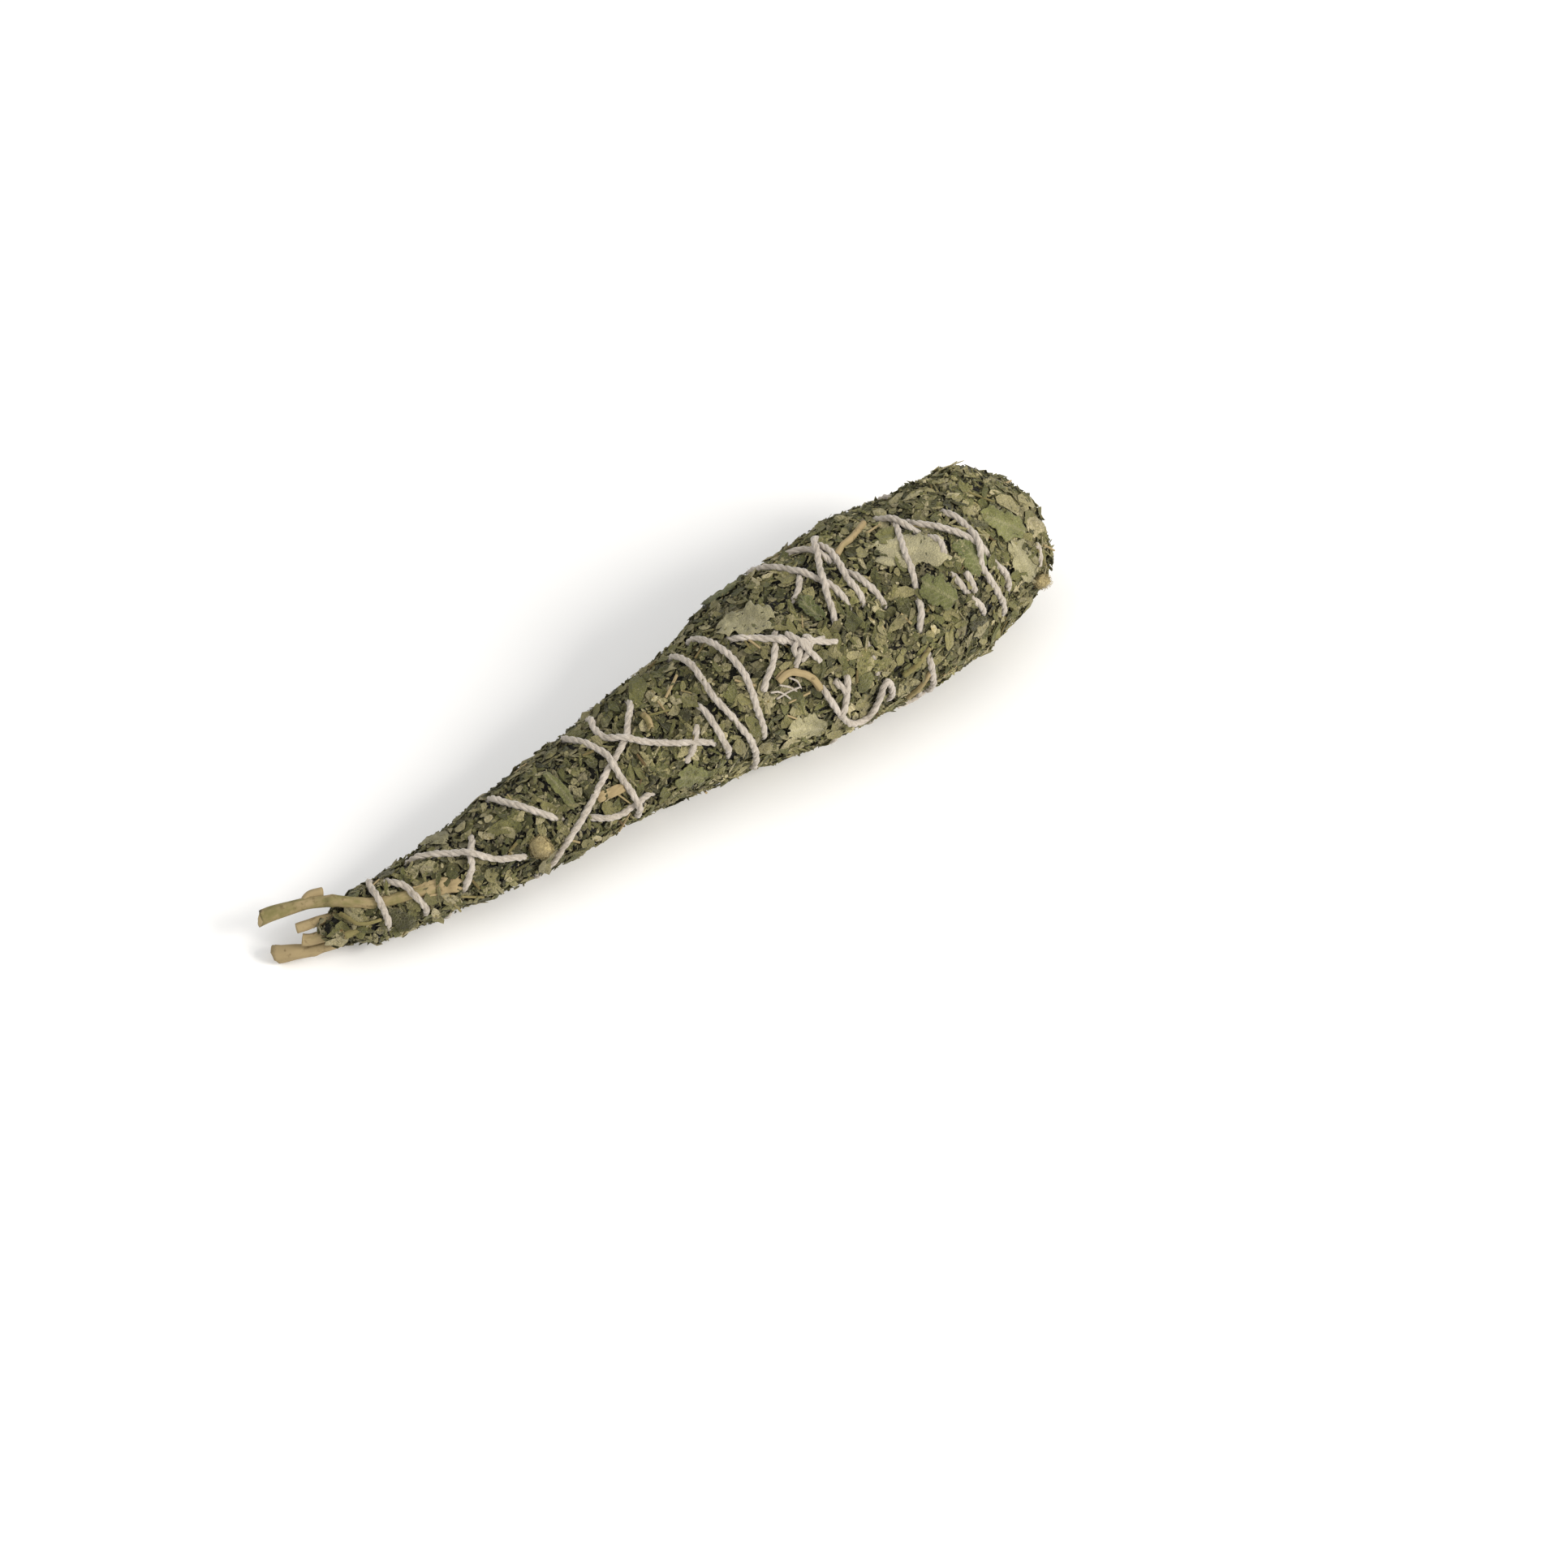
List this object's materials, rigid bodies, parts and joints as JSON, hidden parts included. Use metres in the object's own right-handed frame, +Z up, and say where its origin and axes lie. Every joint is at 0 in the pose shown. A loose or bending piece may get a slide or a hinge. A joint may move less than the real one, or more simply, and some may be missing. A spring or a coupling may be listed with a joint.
{
  "type": "string-wound dried herb bundle",
  "caption": "Dried leafy herb stems packed into a club-shaped bundle, wound criss-cross with thin cotton twine, cut stems showing at the narrow end.",
  "frame": {"origin": "under the middle of the bundle's bounding box, on the surface it lies on", "axes": "+X along the bundle from the cut stems to the blunt leafy end, +Z up, -Y to the side that carries the knot"},
  "size_m": [0.1876, 0.0498, 0.0429],
  "materials": {
    "leaf_mix": "matte crumbled dried leaf, grey-green",
    "leaf_green": "matte dried leaf, darker green",
    "leaf_pale": "matte dried leaf, pale grey-green to tan",
    "stem_wood": "dry bare stem, ribbed, matte",
    "cotton_twine": "twisted cotton, matte, slightly fuzzy"
  },
  "bodies": {
    "root": {"leaf_pack": "leaf_mix", "stem_main": "stem_wood", "stem_foot": "stem_wood", "stem_cut_upper": "stem_wood", "stem_cut_lower": "stem_wood", "stem_inner_back": "stem_wood", "stem_inner_front": "stem_wood", "stem_inner_top": "stem_wood", "twine_lower": "cotton_twine", "twine_upper": "cotton_twine", "twine_knot": "cotton_twine", "twine_tail_over": "cotton_twine", "twine_tail_side": "cotton_twine", "twine_tail_foot": "cotton_twine", "leaf_pleated": "leaf_pale", "leaf_shoulder_green": "leaf_green", "leaf_shoulder_pale": "leaf_pale", "leaf_round": "leaf_green", "leaf_curled": "leaf_green", "leaf_belly": "leaf_pale", "leaf_low": "leaf_green", "leaf_blade": "leaf_green", "leaf_neck": "leaf_pale", "leaf_crown": "leaf_green", "leaf_crown_side": "leaf_pale", "leaf_crown_back": "leaf_green", "leaf_crown_low": "leaf_pale", "leaf_back_long": "leaf_green", "leaf_back_mid": "leaf_pale", "leaf_back_upper": "leaf_green", "leaf_under": "leaf_green", "bark_strip": "stem_wood", "bark_chip": "stem_wood", "twig_petiole": "stem_wood", "twig_arch": "stem_wood", "twig_knee": "stem_wood", "twig_upright": "stem_wood", "twig_side_a": "stem_wood", "twig_side_b": "stem_wood", "twig_back": "stem_wood", "bud_tip": "leaf_pale", "bud_middle": "leaf_pale"}
  },
  "joints": []
}
